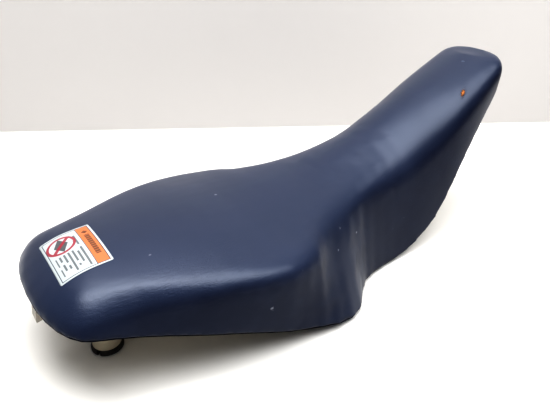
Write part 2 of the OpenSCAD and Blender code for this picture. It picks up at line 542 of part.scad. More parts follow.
tab_x = -28.5;
tab_top = 13;
module release_tab() color([0.8, 0.75, 0.64]) at_pivot() difference() {
  union() {
    rotate([90, 0, 0]) linear_extrude(height = tab_w, center = true)
      polygon([[tab_x, tab_top - 1.5], [tab_x + 1.5, tab_top], [tab_x + tab_t, tab_top], [tab_x + tab_t, tab_top - tab_h + 1],
          [tab_x + tab_t - 1, tab_top - tab_h], [tab_x - 1, tab_top - tab_h - 1], [tab_x - 2, tab_top - tab_h]]);
    translate([tab_x + tab_t - 0.5, -5, -1.5]) cube([9, 10, 12]);
  }
  translate([arm_end - slot_clear, -hook_t / 2 - slot_clear, -slot_clear]) cube([20, hook_t + 2 * slot_clear, 8 + 2 * slot_clear]);
}

pin_reach = cheek_gap / 2 + bracket_t;
groove_y = pin_reach + 0.6;
clip_t = 0.8;
module latch_pin() color([0.72, 0.72, 0.74]) at_pivot() rotate([-90, 0, 0]) rotate_extrude()
  polygon([[0, -pin_reach - 1.7], [pin_d / 2 + 1.3, -pin_reach - 1.7], [pin_d / 2 + 1.8, -pin_reach - 1.2], [pin_d / 2 + 1.8, -pin_reach - 0.2],
      [pin_d / 2, -pin_reach - 0.2], [pin_d / 2, groove_y], [pin_d / 2 - 0.6, groove_y], [pin_d / 2 - 0.6, groove_y + clip_t + 0.2],
      [pin_d / 2, groove_y + clip_t + 0.2], [pin_d / 2, groove_y + 2], [pin_d / 2 - 0.5, groove_y + 2.5], [0, groove_y + 2.5]]);
module pin_clip() color([0.3, 0.3, 0.32]) at_pivot() translate([0, groove_y + 0.1 + clip_t, 0]) rotate([90, 0, 0]) difference() {
  cylinder(h = clip_t, r = pin_d / 2 + 2.2);
  translate([0, 0, -1]) cylinder(h = clip_t + 2, r = pin_d / 2 - 0.5);
  translate([-pin_d / 2 + 0.7, 0, -1]) cube([pin_d - 1.4, 8, clip_t + 2]);
}

// return spring: a bent leg over the arm, the coil round the hub, a leg up to the bracket
coil_y0 = hook_t / 2 + 1.2;
coil_turns = 1340;
coil_start = 80;
leg_l = 13;
coil_y1 = cheek_gap / 2 - spring_wire / 2 - 0.3;
coil_steps = 60;
leg_dir = [-sin(coil_start), 0, cos(coil_start)];
coil = [for (i = [0:coil_steps]) let (f = i / coil_steps, a = coil_start - coil_turns * f) [spring_r * cos(a), lerp(coil_y0, coil_y1, f), spring_r * sin(a)]];
lip_reach = hook_t + 0.4;
wire_path = concat([coil[0] + leg_l * leg_dir + [0, -lip_reach, 0], coil[0] + leg_l * leg_dir + [0, -0.4, 0], coil[0] + (leg_l - 1) * leg_dir],
  coil, [coil[coil_steps] + [0, 0, 8], [coil[coil_steps][0], coil_y1, cheek_h - 0.5]]);
wire_sides = 8;
module latch_spring() color([0.45, 0.45, 0.47]) at_pivot() {
  n = len(wire_path);
  ring = [for (i = [0:n - 1]) let (t = unit(wire_path[min(i + 1, n - 1)] - wire_path[max(i - 1, 0)]),
      side = i < 2 ? [0, 0, 1] : [0, 1, 0], a = unit(cross(t, side)), b = cross(t, a))
    for (k = [0:wire_sides - 1]) wire_path[i] + spring_wire / 2 * (a * cos(360 * k / wire_sides) + b * sin(360 * k / wire_sides))];
  polyhedron(ring, concat([[for (k = [0:wire_sides - 1]) k]], [[for (k = [wire_sides - 1:-1:0]) (n - 1) * wire_sides + k]],
    [for (i = [0:n - 2]) for (k = [0:wire_sides - 1]) let (a = i * wire_sides + k, b = i * wire_sides + (k + 1) % wire_sides)
      each [[a, b + wire_sides, b], [a, a + wire_sides, b + wire_sides]]]));
}

// ---- label and staples ----------------------------------------------------
label_lift = 0.3;
function skin_z(u, y) = u >= crown_start ? skin_mid_z(u, abs(y)) : skin_fan_z(u, abs(y));
function skin_mid_z(u, y) = let (i = clip(len([for (p = skin_s) if (p[0] <= u) 1]) - 1, 0, N - 1),
    t = (u - skin_s[i][0]) / (skin_s[i + 1][0] - skin_s[i][0]),
    s = lerp(skin_s[i], skin_s[i + 1], t), c = lerp(skin_c[i], skin_c[i + 1], t))
  pan_blend(s, c, clip(1 - y / s[1], 0, 1));
function skin_fan_z(u, y) = let (c = skin_c[0], d = [u - c[0], max(y, 0.01)],
    hit = [for (i = [0:N - 1]) let (a = [skin_s[i][0] - c[0], skin_s[i][1]], b = [skin_s[i + 1][0] - c[0], skin_s[i + 1][1]])
      if (turn(a, d) <= 0 && turn(b, d) > 0) let (f = turn(a, d) / (turn(a, d) - turn(b, d))) [lerp(skin_s[i], skin_s[i + 1], f), norm(d) / norm(lerp(a, b, f))]])
  len(hit) == 0 ? c[2] : pan_blend(hit[0][0], c, clip(1 - hit[0][1], 0, 1));
module label() color([0.93, 0.94, 0.94]) seat() {
  nu = 7;
  nv = 10;
  w = nv + 1;
  low = [for (i = [0:nu]) for (j = [0:nv]) let (u = label_u + label_l * i / nu, y = label_w * (j / nv - 0.5)) [u, y, skin_z(u, y) + label_lift]];
  n = len(low);
  polyhedron(concat([for (p = low) p + [0, 0, label_t]], low), concat(
    [for (i = [0:nu - 1]) for (j = [0:nv - 1]) let (a = i * w + j) each [[a, a + 1, a + w], [a + 1, a + w + 1, a + w]]],
    [for (i = [0:nu - 1]) for (j = [0:nv - 1]) let (a = n + i * w + j) each [[a, a + w, a + 1], [a + 1, a + w, a + w + 1]]],
    [for (i = [0:nu - 1]) let (a = i * w) each [[a, a + w, n + a + w], [a, n + a + w, n + a]]],
    [for (i = [0:nu - 1]) let (a = i * w + nv) each [[a, n + a + w, a + w], [a, n + a, n + a + w]]],
    [for (j = [0:nv - 1]) each [[j, n + j, n + j + 1], [j, n + j + 1, j + 1]]],
    [for (j = [0:nv - 1]) let (a = nu * w + j) each [[a, n + a + 1, n + a], [a, a + 1, n + a + 1]]]));
}

staple_row = hem_row(hem_front_rows, hem_w * 0.72);
staple_row_low = hem_row(hem_front_rows, hem_w * 0.5);
function run_to(P, k) = k == 0 ? 0 : run_to(P, k - 1) + norm(P[k % M] - P[k - 1]);
staple_stations = let (R = [for (k = [0:M]) run_to(staple_row, k)], n = floor(R[M] / staple_pitch))
  [for (q = [0:n - 1]) let (d = (q + 0.5) * R[M] / n, k = len([for (r = R) if (r <= d) 1]) - 1) [k, (d - R[k]) / (R[k + 1] - R[k])]];
module staples() color([0.75, 0.75, 0.76]) seat() for (s = staple_stations) {
  k = s[0];
  n = (k + 1) % M;
  p = lerp(staple_row[k], staple_row[n], s[1]);
  t = unit(staple_row[n] - staple_row[k]);
  up = unit(p - lerp(staple_row_low[k], staple_row_low[n], s[1]));
  out = unit(cross(t, up));
  side = cross(out, t);
  multmatrix([[t[0], out[0], side[0], p[0]], [t[1], out[1], side[1], p[1]], [t[2], out[2], side[2], p[2]]])
    linear_extrude(height = staple_wire, center = true)
      polygon([[-staple_w / 2, -0.15 - staple_wire], [staple_w / 2, -0.15 - staple_wire], [staple_w / 2, staple_leg - 1.4], [staple_w / 2 - staple_wire, staple_leg - 0.8],
          [staple_w / 2 - staple_wire, -0.15], [staple_wire - staple_w / 2, -0.15], [staple_wire - staple_w / 2, staple_leg - 0.8], [-staple_w / 2, staple_leg - 1.4]]);
}

cover();
foam();
pan();
label();
staples();
foot_rear_left();
foot_rear_right();
foot_mid_left();
foot_mid_right();
nose_pad_left();
nose_pad_right();
tongue();
side_hook_left();
side_hook_right();
latch_bracket();
latch_hook();
release_tab();
latch_pin();
pin_clip();
latch_spring();
screws();
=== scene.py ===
# %% [markdown]
# # A saddle for a small off-road motorcycle or quad
# The saddle is one piece of navy vinyl pulled over a foam core and stapled inside a moulded pan.
# The exact parts come from the CAD model as a frame in metres, and this lesson gives each of them
# its real surface. Soft pieces are made new here, because CAD holds them only as plain solids.

# %% Load the frame
import bpy, bmesh, math
import numpy as np
from mathutils import Vector, Matrix
from mathutils.bvhtree import BVHTree


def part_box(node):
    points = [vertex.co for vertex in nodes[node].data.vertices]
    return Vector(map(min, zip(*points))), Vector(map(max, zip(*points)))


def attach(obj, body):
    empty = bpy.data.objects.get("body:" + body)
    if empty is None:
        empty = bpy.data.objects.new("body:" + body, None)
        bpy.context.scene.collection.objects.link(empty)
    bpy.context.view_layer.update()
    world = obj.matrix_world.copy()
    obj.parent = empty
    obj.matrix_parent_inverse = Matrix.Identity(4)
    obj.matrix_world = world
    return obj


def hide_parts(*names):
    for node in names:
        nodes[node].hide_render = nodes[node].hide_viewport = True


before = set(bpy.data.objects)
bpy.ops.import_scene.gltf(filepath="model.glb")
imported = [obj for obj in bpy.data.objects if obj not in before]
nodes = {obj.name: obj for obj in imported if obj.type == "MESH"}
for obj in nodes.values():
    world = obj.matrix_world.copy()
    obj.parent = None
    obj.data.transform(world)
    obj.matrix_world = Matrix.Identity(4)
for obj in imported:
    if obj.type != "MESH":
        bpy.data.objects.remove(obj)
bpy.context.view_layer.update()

# %% [markdown]
# ## Camera
# A 34 mm lens held 0.4 m above the table, looking down across the near side of the tail towards
# the nose. The camera comes first, so that every later choice can be judged through it.

# %% Camera
def aim_camera(place, heading, pitch, roll, lens):
    data = bpy.data.cameras.new("camera")
    data.lens = lens
    data.sensor_width = 36.0
    data.clip_start = 0.01
    data.clip_end = 30.0
    cam = bpy.data.objects.new("camera", data)
    bpy.context.scene.collection.objects.link(cam)
    h, p, r = (math.radians(a) for a in (heading, pitch, roll))
    ahead = Vector((math.sin(h) * math.cos(p), math.cos(h) * math.cos(p), -math.sin(p)))
    right = ahead.cross(Vector((0, 0, 1))).normalized()
    up = right.cross(ahead)
    right, up = right * math.cos(r) + up * math.sin(r), up * math.cos(r) - right * math.sin(r)
    turn = Matrix((right, up, -ahead)).transposed().to_4x4()
    cam.matrix_world = Matrix.Translation(place) @ turn
    bpy.context.scene.camera = cam
    return cam

camera = aim_camera((-0.37176, -0.44553, 0.41039), 36.73, 30.14, 1.38, 33.78)
print("camera stands", round(camera.location.length, 3), "m from the saddle's middle")

# %% [markdown]
# ## Writing materials as sums
# A procedural material is arithmetic on patterns. `Value` wraps a shader socket so that masks can
# be written as plain expressions, and `Finish` starts a material and adds any node by its type.

# %% Shader helpers
class Value:
    def __init__(self, tree, socket):
        self.tree, self.socket = tree, socket

    def _math(self, kind, *others, clamp=False):
        n = self.tree.nodes.new("ShaderNodeMath")
        n.operation, n.use_clamp = kind, clamp
        for i, v in enumerate((self,) + others):
            if isinstance(v, Value):
                self.tree.links.new(v.socket, n.inputs[i])
            else:
                n.inputs[i].default_value = v
        return Value(self.tree, n.outputs[0])

    def _swapped(self, kind, other):
        n = self.tree.nodes.new("ShaderNodeMath")
        n.operation = kind
        n.inputs[0].default_value = other
        self.tree.links.new(self.socket, n.inputs[1])
        return Value(self.tree, n.outputs[0])

    def __add__(self, o): return self._math("ADD", o)
    def __radd__(self, o): return self._math("ADD", o)
    def __sub__(self, o): return self._math("SUBTRACT", o)
    def __rsub__(self, o): return self._swapped("SUBTRACT", o)
    def __mul__(self, o): return self._math("MULTIPLY", o)
    def __rmul__(self, o): return self._math("MULTIPLY", o)
    def __truediv__(self, o): return self._math("DIVIDE", o)
    def __rtruediv__(self, o): return self._swapped("DIVIDE", o)
    def __pow__(self, o): return self._math("POWER", o)
    def __neg__(self): return self._math("MULTIPLY", -1.0)
    def __abs__(self): return self._math("ABSOLUTE")
    def most(self, o): return self._math("MAXIMUM", o)
    def least(self, o): return self._math("MINIMUM", o)
    def root(self): return self._math("SQRT")
    def wave(self): return self._math("SINE")
    def part(self): return self._math("FRACT")
    def clamp(self): return self._math("ADD", 0.0, clamp=True)

    def step(self, low, high):
        """0 below low and 1 above high, with a soft shoulder at each end."""
        n = self.tree.nodes.new("ShaderNodeMapRange")
        n.interpolation_type = "SMOOTHSTEP"
        self.tree.links.new(self.socket, n.inputs["Value"])
        n.inputs["From Min"].default_value, n.inputs["From Max"].default_value = low, high
        return Value(self.tree, n.outputs[0])


class Finish:
    def __init__(self, name, **constants):
        self.mat = bpy.data.materials.new(name)
        self.mat.use_nodes = True
        self.tree = self.mat.node_tree
        self.bsdf = self.tree.nodes["Principled BSDF"]
        for key, v in constants.items():
            self.bsdf.inputs[key.replace("_", " ")].default_value = v

    def feed(self, socket, v):
        """Links a value to a socket, or sets the socket to a plain number."""
        if isinstance(v, Value):
            self.tree.links.new(v.socket, socket)
        else:
            socket.default_value = v

    def node(self, kind, out=0, setting=None, **links):
        """Any node: its settings first, then a value or a link for each named socket."""
        n = self.tree.nodes.new(kind)
        for key, v in (setting or {}).items():
            setattr(n, key, v)
        for key, v in links.items():
            numbered = key[0] == "i" and key[1:].isdigit()
            self.feed(n.inputs[int(key[1:]) if numbered else key.replace("_", " ")], v)
        return Value(self.tree, n.outputs[out])

    def vector(self, kind, first, second, out=0):
        return self.node("ShaderNodeVectorMath", out=out, setting={"operation": kind}, i0=first, i1=second)

    def place(self):
        return self.node("ShaderNodeTexCoord", out=3)

    def axes(self):
        p = self.node("ShaderNodeSeparateXYZ", i0=self.place())
        n = p.socket.node
        return [Value(self.tree, n.outputs[i]) for i in range(3)]

    def stretch(self, x, y, z):
        return self.vector("MULTIPLY", self.place(), (x, y, z))

    def noise(self, scale, detail=2.0, rough=0.5, at=None, twist=0.0):
        return self.node("ShaderNodeTexNoise", Vector=at or self.place(), Scale=scale, Detail=detail,
                         Roughness=rough, Distortion=twist)

    def cells(self, scale, feature="F1", **links):
        return self.node("ShaderNodeTexVoronoi", setting={"feature": feature}, Vector=self.place(),
                         Scale=scale, **links)

    def blend(self, amount, first, second):
        n = self.tree.nodes.new("ShaderNodeMix")
        n.data_type = "RGBA"
        for s, v in ((n.inputs[0], amount), (n.inputs[6], first), (n.inputs[7], second)):
            self.feed(s, (*v, 1.0) if isinstance(v, tuple) else v)
        return Value(self.tree, n.outputs[2])

    def bump(self, height, depth, strength=1.0, under=None):
        """depth is what one whole unit of height stands for, in metres."""
        links = {"Height": height, "Distance": depth, "Strength": strength}
        if under is not None:
            links["Normal"] = under
        return self.node("ShaderNodeBump", **links)

    def surface(self, **sockets):
        for key, v in sockets.items():
            self.feed(self.bsdf.inputs[key.replace("_", " ")], v)
        return self.mat


def dress(obj, mat):
    obj.data.materials.clear()
    obj.data.materials.append(mat)

print("helpers ready")

# %% [markdown]
# ## The vinyl cover as cloth
# The cover and the foam are one soft body to the eye. The CAD foam is swollen by the thickness of
# the vinyl, remeshed to an even net of small squares, and relaxed, so the flat CAD facets melt into
# the long curves that stretched vinyl really takes. A light cloth run with air pressure then lets
# the skin bulge and settle. A cap and a share of the movement keep the bulge under half a
# millimetre.

# %% Mesh helpers
def joined_copy(name, sources):
    bm = bmesh.new()
    for s in sources:
        bm.from_mesh(s.data)
    bmesh.ops.remove_doubles(bm, verts=bm.verts, dist=1e-5)
    bmesh.ops.recalc_face_normals(bm, faces=bm.faces)
    mesh = bpy.data.meshes.new(name)
    bm.to_mesh(mesh)
    bm.free()
    obj = bpy.data.objects.new(name, mesh)
    bpy.context.scene.collection.objects.link(obj)
    return obj


def bake_modifiers(obj):
    graph = bpy.context.evaluated_depsgraph_get()
    done = bpy.data.meshes.new_from_object(obj.evaluated_get(graph))
    obj.modifiers.clear()
    obj.data = done


def add_modifier(obj, kind, **settings):
    m = obj.modifiers.new(kind.lower(), kind)
    for key, v in settings.items():
        setattr(m, key, v)
    return m


def tree_of(obj):
    bm = bmesh.new()
    bm.from_mesh(obj.data)
    t = BVHTree.FromBMesh(bm)
    bm.free()
    return t


def smooth(obj):
    for poly in obj.data.polygons:
        poly.use_smooth = True


def points(mesh):
    co = np.empty(len(mesh.vertices) * 3)
    mesh.vertices.foreach_get("co", co)
    return co.reshape(-1, 3)


def set_points(mesh, co):
    mesh.vertices.foreach_set("co", co.ravel())
    mesh.update()


def edge_pairs(mesh):
    e = np.empty(len(mesh.edges) * 2, dtype=np.int64)
    mesh.edges.foreach_get("vertices", e)
    return e.reshape(-1, 2)


def melt(co, pairs, rounds):
    """Pulls each point to the middle of its neighbours and pushes it back, which smooths without shrinking."""
    count = np.bincount(pairs.ravel(), minlength=len(co))[:, None].astype(float)
    for i in range(rounds):
        for pull in (0.62, -0.64):
            total = np.zeros_like(co)
            np.add.at(total, pairs[:, 0], co[pairs[:, 1]])
            np.add.at(total, pairs[:, 1], co[pairs[:, 0]])
            co = co + (total / count - co) * pull
    return co

# %% Cut the hem strip from the CAD cover
pan_tree = tree_of(nodes["pan"])
hem = joined_copy("cover_hem", [nodes["cover"]])
bm = bmesh.new()
bm.from_mesh(hem.data)
facing_up = 0.2
hem_reach = 0.0034
far = [p for p in bm.faces if p.normal.z > facing_up
       or pan_tree.find_nearest(p.calc_center_median())[3] > hem_reach]
bmesh.ops.delete(bm, geom=far, context="FACES")
bm.to_mesh(hem.data)
bm.free()
hem_tree = tree_of(hem)
print("hem strip:", len(hem.data.polygons), "CAD faces")

# %% Swell, remesh and relax
def swollen_foam(name, by):
    obj = joined_copy(name, [nodes["foam"]])
    add_modifier(obj, "DISPLACE", strength=by, mid_level=0.0)
    bake_modifiers(obj)
    return obj

net_size = 0.004
cover = swollen_foam("seat_cover", 0.004)
skin = swollen_foam("skin", 0.0015)
add_modifier(cover, "REMESH", mode="VOXEL", voxel_size=net_size, adaptivity=0.0)
add_modifier(cover, "SHRINKWRAP", target=skin)
bake_modifiers(cover)
bpy.data.objects.remove(skin)
net = edge_pairs(cover.data)
moulded = points(cover.data)
relaxed = melt(moulded, net, 22)
# the lower edge keeps its exact place, and the melting fades in above it
hold = np.array([hem_tree.find_nearest(Vector(c))[3] for c in moulded])
held_to, free_over = 0.004, 0.014
free = np.clip((hold - held_to) / free_over, 0.0, 1.0)[:, None]
edge_calm = melt(moulded, net, 3)
set_points(cover.data, relaxed * free + edge_calm * (1.0 - free))
print("cover net:", len(moulded), "points, melting moved them by up to",
      round(float(np.abs(relaxed - moulded).max()) * 1000, 2), "mm")

# %% Cloth under light pressure
def puff(obj, cap, share=0.22, pressure=4.0, frames=20):
    start = points(obj.data)
    cloth = add_modifier(obj, "CLOTH")
    s = cloth.settings
    s.quality = 5
    s.mass = 0.6
    s.tension_stiffness = s.compression_stiffness = s.shear_stiffness = 60
    s.bending_stiffness = 12
    s.use_pressure = True
    s.uniform_pressure_force = pressure
    s.effector_weights.gravity = 0.0
    cloth.point_cache.frame_start, cloth.point_cache.frame_end = 1, frames
    scene = bpy.context.scene
    for f in range(1, frames + 1):
        scene.frame_set(f)
    bake_modifiers(obj)
    scene.frame_set(1)
    moved = points(obj.data) - start
    far = np.linalg.norm(moved, axis=1, keepdims=True)
    set_points(obj.data, start + moved * np.minimum(1.0, cap / np.maximum(far, 1e-9)) * share)
    return float(far.max())

print("cloth wanted to move by up to", round(puff(cover, 0.0022) * 1000, 1), "mm")
add_modifier(cover, "SUBSURF", levels=1, render_levels=1)
bake_modifiers(cover)
smooth(cover)
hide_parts("cover", "foam")
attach(cover, "saddle")
print("cover:", len(cover.data.vertices), "points")

# %% [markdown]
# ## Navy vinyl
# Seat vinyl is a soft satin skin. Close up it has a grain of tiny pebbles, fine creases run along
# the padded shoulder where the skin was stretched, and years of use leave pale scuffs and dust.
# Near the nose the skin is torn and the orange foam shows, with a nick beyond the tear.

# %% Places on the cover
tear_at = Vector((0.2392, -0.0465, 0.1975))
tear_along = Vector((0.71, 0.36, 0.6)).normalized()
nick_at = Vector((0.2785, -0.0103, 0.2274))
marks = [Vector(p) for p in ((-0.112, 0.020, 0.117), (-0.225, -0.049, 0.117), (-0.012, -0.089, 0.093),
                             (0.018, -0.087, 0.0755), (-0.026, -0.103, 0.076), (-0.136, -0.129, 0.064))]
print("marks:", len(marks))

# %% Vinyl finish
def vinyl():
    f = Finish("navy_vinyl", Specular_IOR_Level=0.4, Specular_Tint=(0.72, 0.82, 1.0, 1.0), Coat_Roughness=0.34)
    x, y, z = f.axes()
    slow = f.noise(7.0, 3.0, 0.55)
    cloud = f.noise(30.0, 3.0, 0.6)
    grain = f.cells(760.0, feature="SMOOTH_F1") * 0.75 + f.noise(1500.0, 1.0) * 0.25
    # wrinkles: short wavy ridges that run round the shoulder, strongest on the near rear corner
    drift = f.node("ShaderNodeTexNoise", out=1, Vector=f.place(), Scale=26.0, Detail=2.0)
    bent = f.vector("ADD", f.stretch(70.0, 260.0, 260.0), f.vector("MULTIPLY", drift, (5.0, 5.0, 5.0)))
    ridge = f.node("ShaderNodeTexNoise", Vector=bent, Scale=1.0, Detail=3.0, Roughness=0.62)
    ridge = 1.0 - (abs(ridge - 0.5) * 8.0).least(1.0)
    fine_ridge = f.noise(1.0, 2.0, 0.6, at=f.stretch(240.0, 620.0, 620.0), twist=0.8)
    corner = x.step(-0.10, -0.2) * (0.5 + 0.5 * f.noise(14.0, 1.0).step(0.38, 0.6))
    shoulder = (-y).step(0.035, 0.085) * z.step(0.078, 0.1)
    wrinkle = (ridge * 0.75 + fine_ridge * 0.5) * shoulder.most(0.12) * (corner + 0.3).least(1.0)
    swell = f.noise(17.0, 2.0, 0.5)
    specks = f.cells(190.0, Randomness=1.0)
    speck = (1.0 - specks.step(0.025, 0.07)) * f.noise(19.0, 2.0).step(0.6, 0.7)
    scuff = f.noise(1.0, 3.0, 0.65, at=f.stretch(90.0, 420.0, 300.0)).step(0.68, 0.78) * f.noise(12.0, 1.0).step(0.6, 0.7)
    near_mark = None
    for i, m in enumerate(marks):
        d = f.vector("DISTANCE", f.place(), m, out=1)
        spot = 1.0 - (d + (f.noise(240.0 + 30.0 * i, 2.0) - 0.5) * 0.004).step(0.0006, 0.0019)
        near_mark = spot if near_mark is None else near_mark.most(spot)
    worn = (speck * 0.6 + scuff * 0.35 + near_mark).clamp()
    dust = f.noise(220.0, 3.0, 0.7).step(0.62, 0.8) * f.noise(11.0, 2.0).step(0.5, 0.7)
    facing = f.node("ShaderNodeSeparateXYZ", out=2, i0=f.node("ShaderNodeTexCoord", out=1))
    # painted light: skin that faces up gets a lit navy in two random tones, and the sides a near-black navy
    # that paints the shade where the ceiling light falls off; the same mask gives the top its coat
    up_facing_painted_light = (facing + (slow - 0.5) * 0.3).step(0.1, 0.8)
    lit_top_tone = f.blend(slow.step(0.3, 0.7), (0.024, 0.036, 0.075), (0.029, 0.042, 0.086))
    base = f.blend(up_facing_painted_light, (0.002, 0.0035, 0.020), lit_top_tone)
    base = f.blend(cloud.step(0.35, 0.75) * 0.2, base, (0.024, 0.033, 0.068))
    base = f.blend(worn * 0.6 + dust * 0.05, base, (0.40, 0.41, 0.46))
    rough = 0.27 + slow * 0.06 + cloud * 0.07 + worn * 0.2 + dust * 0.1
    low = f.bump(swell, 0.0011, 0.35)
    mid = f.bump(wrinkle, 0.00032, 0.6, under=low)
    fine = f.bump(grain, 0.00009, 0.5, under=mid)
    # the tear: a long ragged hole, measured along and across itself
    run = f.vector("DOT_PRODUCT", f.vector("SUBTRACT", f.place(), tear_at), tear_along, out=1)
    reach = f.vector("DISTANCE", f.place(), tear_at, out=1)
    ragged = (f.noise(330.0, 2.0, 0.6) - 0.5) * 0.0035
    across = (reach * reach - run * run).most(0.0).root()
    shape = ((run / 0.0062) ** 2.0 + ((across + ragged) / 0.0026) ** 2.0).root()
    hole = 1.0 - shape.step(0.85, 1.0)
    lip = shape.step(0.8, 1.0) * (1.0 - shape.step(1.05, 1.6))
    deep = (1.0 - (shape + (f.noise(600.0, 2.0) - 0.5) * 0.8).step(0.25, 1.0)) * hole
    orange = f.blend(f.noise(520.0, 3.0, 0.7).step(0.35, 0.65), (0.24, 0.085, 0.025), (0.62, 0.27, 0.09))
    shade = (shape.step(0.5, 1.0) + f.noise(260.0, 1.0).step(0.42, 0.6) * 0.7).least(0.92)
    orange = f.blend(shade, orange, (0.03, 0.015, 0.012))
    nick = f.vector("DISTANCE", f.place(), nick_at, out=1)
    nick = (nick + (f.noise(300.0, 1.0) - 0.5) * 0.003)
    cut = 1.0 - nick.step(0.0012, 0.0026)
    base = f.blend(lip * 0.25, base, (0.20, 0.18, 0.24))
    base = f.blend(cut * 0.5, base, (0.17, 0.2, 0.27))
    base = f.blend(hole, base, orange)
    rough = (rough + hole * 0.5 + lip * 0.1).least(0.95)
    torn_edge = f.bump(lip * 0.5 - hole * 1.0 + deep * 0.4 - cut * 0.35, 0.0016, 0.9, under=fine)
    return f.surface(Base_Color=base, Roughness=rough, Coat_Weight=up_facing_painted_light * (1.0 - hole) * 0.6, Normal=torn_edge)

navy = vinyl()
dress(cover, navy)
print("vinyl nodes:", len(navy.node_tree.nodes))

# %% [markdown]
# ## The turned-up hem
# The vinyl wraps under the lip and up the inside of the pan, where staples hold it. Between the
# staples it gathers in small pleats. The strip was cut from the CAD cover by how near it lies to
# the pan, so it is exactly where the staples are.

# %% Hem finish
add_modifier(hem, "SUBSURF", levels=2, render_levels=2, subdivision_type="SIMPLE")
bake_modifiers(hem)
smooth(hem)
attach(hem, "saddle")

def hem_vinyl():
    f = Finish("navy_vinyl_hem", Specular_IOR_Level=0.4)
    x, _, z = f.axes()
    pleat = f.noise(1.0, 2.0, 0.5, at=f.stretch(130.0, 130.0, 24.0))
    knit = (x * 2600.0).wave() * (z * 2600.0).wave()
    base = f.blend(f.noise(26.0, 3.0).step(0.35, 0.7), (0.017, 0.021, 0.052), (0.026, 0.032, 0.068))
    base = f.blend(f.noise(90.0, 4.0, 0.7).step(0.58, 0.8) * 0.35, base, (0.3, 0.28, 0.26))
    low = f.bump(pleat, 0.0015, 0.7)
    return f.surface(Base_Color=base, Roughness=0.5 + pleat * 0.2, Normal=f.bump(knit, 0.00008, 0.4, under=low))

dress(hem, hem_vinyl())
print("hem:", len(hem.data.polygons), "faces")

# %% [markdown]
# ## The label
# A film label lies on the rear of the crown. It's made here as a fine net laid on the real cover,
# with round corners. It has an orange band, a red ring with a slash, and grey bars where the small
# print would be.

# %% Lay the label on the cover
cover_tree = tree_of(cover)
label_low, label_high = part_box("label")
label_mid = (label_low + label_high) / 2
label_half = ((label_high.x - label_low.x) / 2, (label_high.y - label_low.y) / 2)


def laid_sheet(name, middle, half, radius, lift, across=(40, 56)):
    """A round-cornered sheet dropped straight down on the cover, lift above it."""
    def squared(a, b):
        # points outside a corner's arc slide in to the arc
        ca, cb = half[0] - radius, half[1] - radius
        da, db = abs(a) - ca, abs(b) - cb
        if da > 0 and db > 0 and math.hypot(da, db) > radius:
            k = radius / math.hypot(da, db)
            return math.copysign(ca + da * k, a), math.copysign(cb + db * k, b)
        return a, b
    verts, faces = [], []
    for i in range(across[0] + 1):
        for j in range(across[1] + 1):
            a, b = squared(half[0] * (2 * i / across[0] - 1), half[1] * (2 * j / across[1] - 1))
            spot = Vector((middle.x + a, middle.y + b, middle.z + 0.05))
            hit = cover_tree.ray_cast(spot, Vector((0, 0, -1)))[0]
            verts.append(Vector((spot.x, spot.y, hit.z + lift)))
    row = across[1] + 1
    for i in range(across[0]):
        for j in range(across[1]):
            a = i * row + j
            faces.append((a, a + row, a + row + 1, a + 1))
    mesh = bpy.data.meshes.new(name)
    mesh.from_pydata(verts, [], faces)
    obj = bpy.data.objects.new(name, mesh)
    bpy.context.scene.collection.objects.link(obj)
    smooth(obj)
    return obj

label = laid_sheet("label_sheet", label_mid, label_half, 0.0016, 0.00018)
add_modifier(label, "SOLIDIFY", thickness=0.00022, offset=1.0)
bake_modifiers(label)
smooth(label)
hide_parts("label")
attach(label, "saddle")
print("label:", [round(v * 2000, 1) for v in label_half], "mm,", len(label.data.polygons), "faces")

